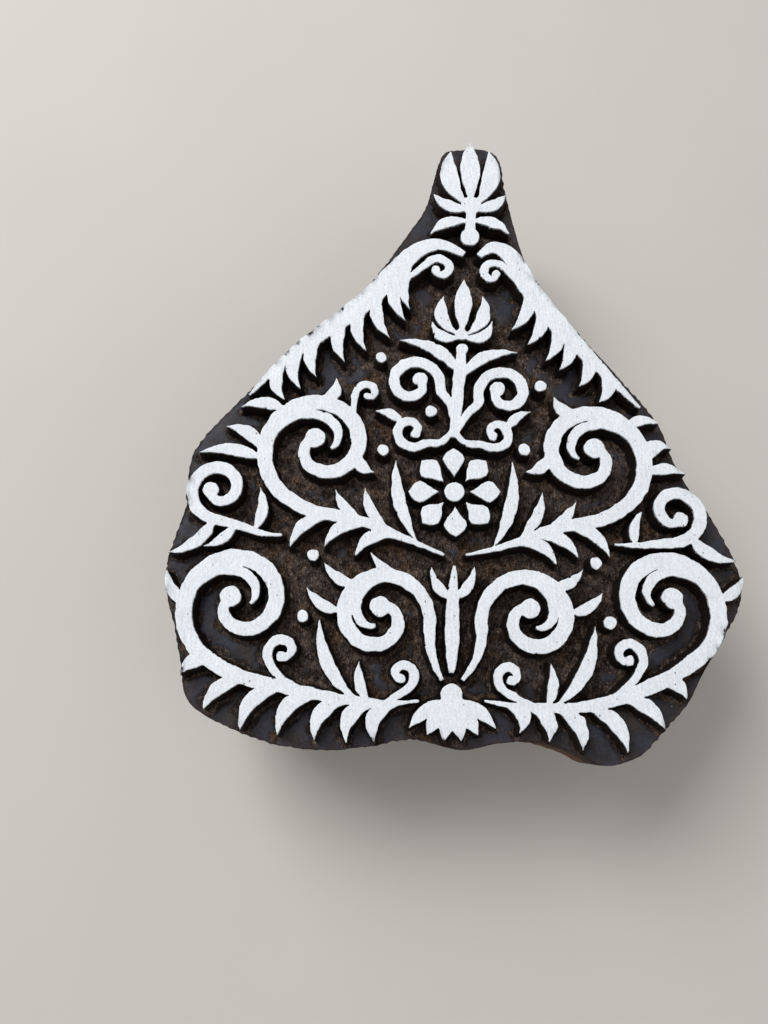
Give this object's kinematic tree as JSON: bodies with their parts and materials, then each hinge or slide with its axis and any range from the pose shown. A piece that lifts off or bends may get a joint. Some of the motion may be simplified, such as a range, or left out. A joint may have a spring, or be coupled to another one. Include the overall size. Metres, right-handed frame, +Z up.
{
  "type": "block printing stamp",
  "caption": "Hand stamp for printing cloth: a hardwood slab sawn to a bell-like outline, carved in floral relief, with a grip bar screwed to its back.",
  "frame": {"origin": "middle of the footprint of the whole stamp, on the surface that its handle stands on", "axes": "+Z up and out of the printing face, +Y from the foot of the design to its tip, +X to the right across the face"},
  "size_m": [0.131, 0.158, 0.05],
  "materials": {
    "carved_wood": "dark dye-stained hardwood, rough where carved",
    "handle_wood": "hand-worn oiled hardwood",
    "screw_steel": "dull, lightly rusted",
    "chalked_face": "matt white chalk on hardwood"
  },
  "bodies": {
    "root": {"block": "carved_wood", "handle": "handle_wood", "screws": "screw_steel", "bud_land": "chalked_face", "crown_leaf_left_land": "chalked_face", "crown_leaf_right_land": "chalked_face", "tulip_land": "chalked_face", "stem_land": "chalked_face", "rosette_land": "chalked_face", "great_scroll_left_land": "chalked_face", "great_scroll_right_land": "chalked_face", "rim_scroll_left_land": "chalked_face", "rim_scroll_right_land": "chalked_face", "spear_land": "chalked_face", "foot_scroll_left_land": "chalked_face", "foot_scroll_right_land": "chalked_face", "palmette_land": "chalked_face", "outer_scroll_left_land": "chalked_face", "outer_scroll_right_land": "chalked_face", "berries_land": "chalked_face"}
  },
  "joints": []
}
